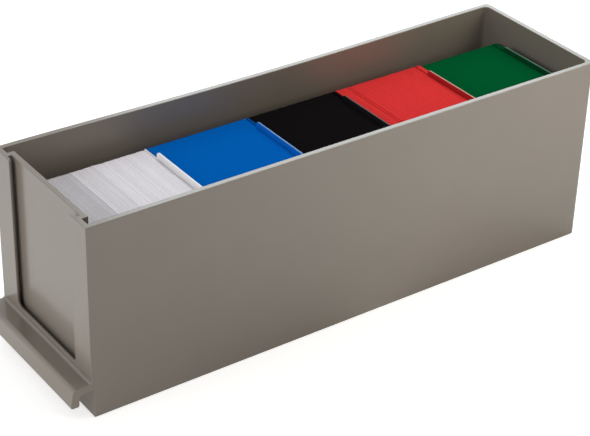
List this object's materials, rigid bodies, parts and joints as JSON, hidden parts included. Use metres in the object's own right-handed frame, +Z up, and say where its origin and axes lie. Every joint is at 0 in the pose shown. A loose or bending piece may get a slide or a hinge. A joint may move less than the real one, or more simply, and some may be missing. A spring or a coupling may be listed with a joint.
{
  "type": "card drawer organizer tray",
  "caption": "Long open card drawer tray with a label channel and down-turned finger lip, holding upright packs of sleeved cards and tabbed dividers.",
  "frame": {"origin": "middle of the tray's flat underside, half-way between the flange faces and the rear face", "axes": "+X to the right seen from the front, +Y along the tray towards the rear, +Z up"},
  "size_m": [0.094, 0.3411, 0.113],
  "materials": {
    "tray_plastic": "smooth semi-gloss moulded plastic, warm grey",
    "white_cards": "edges of a stack of sleeved cards",
    "white_divider": "smooth plastic sheet with a cut edge",
    "blue_cards": "edges of a stack of sleeved cards",
    "blue_divider": "smooth plastic sheet with a cut edge",
    "black_cards": "edges of a stack of sleeved cards",
    "black_divider": "smooth plastic sheet with a cut edge",
    "red_cards": "edges of a stack of sleeved cards",
    "red_divider": "smooth plastic sheet with a cut edge",
    "green_cards": "edges of a stack of sleeved cards",
    "green_divider": "smooth plastic sheet with a cut edge"
  },
  "bodies": {
    "tray": {"tray": "tray_plastic"},
    "white_cards": {"white_cards": "white_cards"},
    "white_divider": {"white_divider": "white_divider"},
    "blue_cards": {"blue_cards": "blue_cards"},
    "blue_divider": {"blue_divider": "blue_divider"},
    "black_cards": {"black_cards": "black_cards"},
    "black_divider": {"black_divider": "black_divider"},
    "red_cards": {"red_cards": "red_cards"},
    "red_divider": {"red_divider": "red_divider"},
    "green_cards": {"green_cards": "green_cards"},
    "green_divider": {"green_divider": "green_divider"}
  },
  "joints": [
    {"name": "white_cards_lift", "type": "slide", "parent": "tray", "child": "white_cards", "axis": [0, 0, 1], "range_m": [0, 0.115]},
    {"name": "white_divider_lift", "type": "slide", "parent": "tray", "child": "white_divider", "axis": [0, 0, 1], "range_m": [0, 0.115]},
    {"name": "blue_cards_lift", "type": "slide", "parent": "tray", "child": "blue_cards", "axis": [0, 0, 1], "range_m": [0, 0.115]},
    {"name": "blue_divider_lift", "type": "slide", "parent": "tray", "child": "blue_divider", "axis": [0, 0, 1], "range_m": [0, 0.115]},
    {"name": "black_cards_lift", "type": "slide", "parent": "tray", "child": "black_cards", "axis": [0, 0, 1], "range_m": [0, 0.115]},
    {"name": "black_divider_lift", "type": "slide", "parent": "tray", "child": "black_divider", "axis": [0, 0, 1], "range_m": [0, 0.115]},
    {"name": "red_cards_lift", "type": "slide", "parent": "tray", "child": "red_cards", "axis": [0, 0, 1], "range_m": [0, 0.115]},
    {"name": "red_divider_lift", "type": "slide", "parent": "tray", "child": "red_divider", "axis": [0, 0, 1], "range_m": [0, 0.115]},
    {"name": "green_cards_lift", "type": "slide", "parent": "tray", "child": "green_cards", "axis": [0, 0, 1], "range_m": [0, 0.115]},
    {"name": "green_divider_lift", "type": "slide", "parent": "tray", "child": "green_divider", "axis": [0, 0, 1], "range_m": [0, 0.115]}
  ]
}
